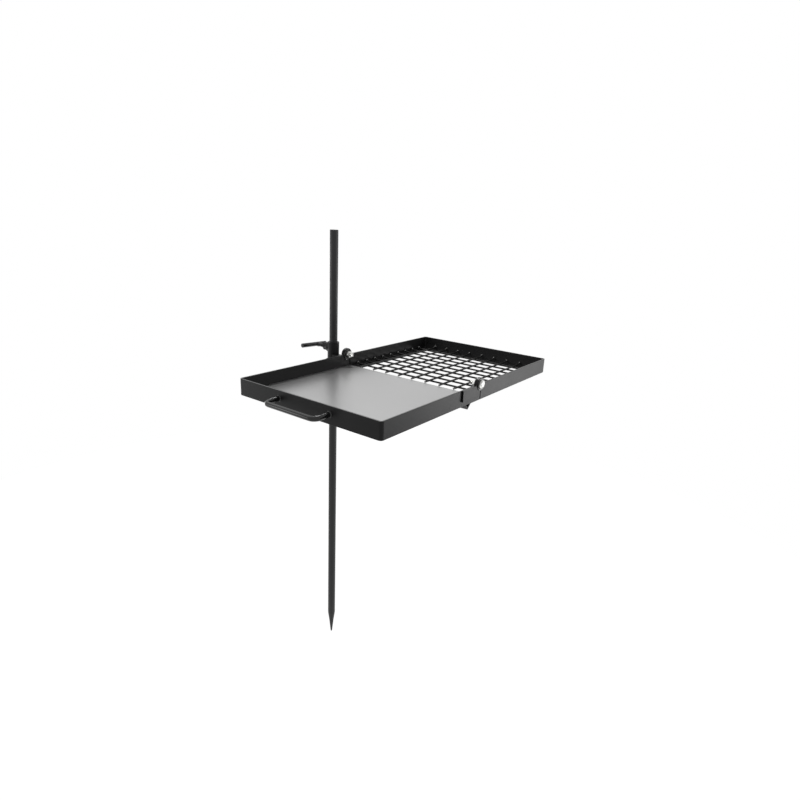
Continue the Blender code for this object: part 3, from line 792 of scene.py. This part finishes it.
class GRILL_OT_grate(bpy.types.Operator):
    """Finishes the grate half: the walls with their ledge, and the welded wires"""

    bl_idname = "grill.grate"
    bl_label = "Wire grate"

    def execute(self, context):
        edge = sizes().edge_round
        # The faces of the frame that look up get the lighter coat, a painted highlight on its
        # tops
        rounded_copy("grate_frame", GRATE, "black_coat", edge, "edge_coat")
        self.wires()
        return {"FINISHED"}

    def wires(self):
        """The straight wires, with a small weld at each crossing and bare turned-up ends."""
        low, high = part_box("wire_mesh")
        rows = [WIRE_FIRST_Y - WIRE_PITCH_Y * index for index in range(WIRES_ALONG)]
        columns = [WIRE_FIRST_X + WIRE_PITCH_X * index for index in range(WIRES_ACROSS)]
        along = self.wire(low.x, high.x, LONG_WIRE_HEIGHT, False)
        across = self.wire(low.y, high.y, CROSS_WIRE_HEIGHT, True)
        paths = [[(x, y, z) for x, z in along] for y in rows]
        paths += [[(x, y, z) for y, z in across] for x in columns]
        ends = [Vector(path[-1]) for path in paths] + [Vector(path[0]) for path in paths]
        shape = wires_from_paths(paths, WIRE_RADIUS, sizes().wire_sides)
        for face in shape.faces:
            middle = face.calc_center_median()
            if min((middle - end).length for end in ends) < WIRE_BARE_END:
                face.material_index = 1
        piece("grate_wires", shape, GRATE, "wire_coat", ("wire_mesh",), "cut_steel")
        self.welds(rows, columns)

    def wire(self, start, end, height, turned_start):
        """(along, height) points of one wire. Each end at a wall is bent up softly."""
        top = height + WIRE_RISE
        knee = end - WIRE_TURN_UP
        corners = [(start, 0.0, height)]
        if turned_start:
            corners = [(start, 0.0, top), (start + WIRE_TURN_UP, 0.0, height)]
        corners += [(knee, 0.0, height), (end, 0.0, top)]
        path = rounded_path(corners, WIRE_BEND, WIRE_BEND_STEPS)
        flat = [Vector((point.x, point.z)) for point in path]
        flat.insert(-1, flat[-1] + (flat[-2] - flat[-1]).normalized() * WIRE_TIP)
        if turned_start:
            flat.insert(1, flat[0] + (flat[1] - flat[0]).normalized() * WIRE_TIP)
        return flat

    def welds(self, rows, columns):
        """A flattened bead in the corner of every crossing."""
        middle = (CROSS_WIRE_HEIGHT + LONG_WIRE_HEIGHT) / 2
        radius = sizes().wire_weld
        scale = Matrix.Diagonal((radius, radius, radius * WIRE_WELD_HEIGHT, 1.0))
        beads = []
        for y in rows:
            for x in columns:
                bead = bmesh.new()
                bmesh.ops.create_icosphere(bead, subdivisions=2, radius=1.0)
                beads.append(placed(bead, Matrix.Translation((x, y, middle)) @ scale))
        piece("grate_wire_welds", joined(beads), GRATE, "wire_coat")


class GRILL_OT_hinge_bolts(bpy.types.Operator):
    """Makes the two folding bolts with their washers and nuts"""

    bl_idname = "grill.hinge_bolts"
    bl_label = "Hinge bolts"

    def execute(self, context):
        for side, outward in (("stake_side", 1), ("near_side", -1)):
            self.bolt(side, outward)
            rounded_copy(f"hinge_nut_{side}", CARRIER, "zinc", NUT_EDGE)
            for place in ("outer", "inner"):
                node = f"hinge_washer_{place}_{side}"
                rounded_copy(node, CARRIER, "washer_black", ROD_EDGE)
        return {"FINISHED"}

    def bolt(self, side, outward):
        """A domed head and a plain shank, with a real thread from inside the nut to its end."""
        node = f"hinge_bolt_{side}"
        low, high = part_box(node)
        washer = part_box(f"hinge_washer_outer_{side}")
        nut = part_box(f"hinge_nut_{side}")
        tip, top = (low.y, high.y) if outward > 0 else (high.y, low.y)
        seat = (washer[1].y if outward > 0 else washer[0].y) + outward * HEAD_GAP
        inside = (nut[0].y + nut[1].y) / 2
        radius = (high.z - low.z) / 2
        thick = abs(top - seat)
        reach = abs(seat - inside)
        rim = thick * HEAD_RIM
        profile = [(0, -reach), (SHANK_RADIUS, -reach), (SHANK_RADIUS, 0)]
        profile += [(radius - HEAD_EDGE, 0), (radius, HEAD_EDGE)]
        for step in range(DOME_STEPS + 1):
            angle = math.pi / 2 * step / DOME_STEPS
            profile.append((radius * math.cos(angle), rim + (thick - rim) * math.sin(angle)))
        profile[-1] = (0, thick)
        x, z = (low.x + high.x) / 2, (low.z + high.z) / 2
        head = placed(lathe(profile, BOLT_FACETS), pointing((x, seat, z), (0, outward, 0)))
        thread = threaded_bar(BOLT_THREAD_RADIUS, sizes().bolt_pitch, abs(tip - inside))
        placed(thread, pointing((x, inside, z), (0, -outward, 0)))
        piece(f"{node}_turned", joined([head, thread]), CARRIER, "zinc", (node,))


class GRILL_OT_stage(bpy.types.Operator):
    """Sets up the floor, the lamps, the white surround and the camera"""

    bl_idname = "grill.stage"
    bl_label = "Stage"

    def execute(self, context):
        settings = context.scene.grill_stage
        self.floor(settings.floor_glow, settings.floor_white)
        self.surround(context.scene, settings.surround)
        for name, (power, size, place, aim) in LAMPS.items():
            self.lamp(name, getattr(settings, power), size, place, aim)
        self.camera(context.scene, settings.lens)
        context.scene.view_settings.view_transform = "Standard"
        return {"FINISHED"}

    def floor(self, share, white):
        """A white disc round the stake. It glows to the camera, and still takes a shadow."""
        shape = bmesh.new()
        bmesh.ops.create_circle(
            shape, cap_ends=True, segments=FLOOR_FACETS, radius=FLOOR_RADIUS
        )
        mesh = bpy.data.meshes.new("floor")
        shape.to_mesh(mesh)
        shape.free()
        made = bpy.data.objects.new("floor", mesh)
        made.location.z = -FLOOR_DROP
        bpy.context.scene.collection.objects.link(made)
        finish = Finish("white_floor")
        finish.surface(Base_Color=FLOOR_GREY, Roughness=0.9, Specular_IOR_Level=0.0)
        plain = Signal(finish, finish.shader.outputs[0])
        glow = finish.node("ShaderNodeEmission", inputs={"Color": WHITE, "Strength": white})
        mixed = finish.node(
            "ShaderNodeMixShader", inputs={0: finish.seen() * share, 1: plain, 2: glow}
        )
        finish.feed(finish.tree.nodes["Material Output"].inputs["Surface"], mixed)
        mesh.materials.append(finish.material)

    def surround(self, scene, strength):
        """A white room: plain white to the camera and in reflections, dimmer as a light."""
        world = scene.world or bpy.data.worlds.new("white_room")
        scene.world = world
        world.use_nodes = True
        room = Nodes(world.node_tree)
        room.tree.nodes.clear()
        level = room.node(
            "ShaderNodeMapRange", {"clamp": True},
            {"Value": room.seen(), "To Min": strength, "To Max": 1.0},
        )
        glow = room.node("ShaderNodeBackground", inputs={"Color": WHITE, "Strength": level})
        room.node("ShaderNodeOutputWorld", inputs={"Surface": glow})

    def lamp(self, name, power, size, place, aim):
        data = bpy.data.lights.new(name, "AREA")
        data.energy = power
        data.size = size
        made = bpy.data.objects.new(name, data)
        made.location = place
        made.rotation_euler = (Vector(aim) - Vector(place)).to_track_quat("-Z", "Y").to_euler()
        bpy.context.scene.collection.objects.link(made)

    def camera(self, scene, lens):
        data = bpy.data.cameras.new("camera")
        data.lens = lens
        data.sensor_width = CAMERA_SENSOR
        made = bpy.data.objects.new("camera", data)
        made.location = CAMERA_PLACE
        forward = Vector(CAMERA_FORWARD).normalized()
        up = Vector(CAMERA_UP).normalized()
        right = forward.cross(up)
        made.rotation_euler = Matrix((right, up, -forward)).transposed().to_euler()
        scene.collection.objects.link(made)
        scene.camera = made


class GRILL_PT_panel(bpy.types.Panel):
    """Sizes, colours and operators of the grill"""

    bl_label = "Campfire Grill"
    bl_idname = "GRILL_PT_panel"
    bl_space_type = "VIEW_3D"
    bl_region_type = "UI"
    bl_category = "Grill"

    def draw(self, context):
        layout = self.layout
        for group in ("grill_sizes", "grill_finishes", "grill_stage"):
            settings = getattr(context.scene, group)
            box = layout.box()
            for name in settings.bl_rna.properties.keys():
                if name not in ("name", "rna_type"):
                    box.prop(settings, name)
        for step in STEPS:
            layout.operator(step.bl_idname)


GROUPS = {"grill_sizes": GrillSizes, "grill_finishes": GrillFinishes, "grill_stage": GrillStage}
STEPS = (
    GRILL_OT_stake, GRILL_OT_tubes, GRILL_OT_clamp_screws, GRILL_OT_griddle,
    GRILL_OT_grate, GRILL_OT_hinge_bolts, GRILL_OT_stage,
)


def register():
    for group in (*GROUPS.values(), *STEPS, GRILL_PT_panel):
        bpy.utils.register_class(group)
    for name, group in GROUPS.items():
        setattr(bpy.types.Scene, name, PointerProperty(type=group))


def unregister():
    for name in GROUPS:
        delattr(bpy.types.Scene, name)
    for group in reversed((*GROUPS.values(), *STEPS, GRILL_PT_panel)):
        bpy.utils.unregister_class(group)


def main():
    register()
    bpy.ops.grill.stake()
    bpy.ops.grill.tubes()
    bpy.ops.grill.clamp_screws()
    bpy.ops.grill.griddle()
    bpy.ops.grill.grate()
    bpy.ops.grill.hinge_bolts()
    bpy.ops.grill.stage()


if __name__ == "__main__":
    main()
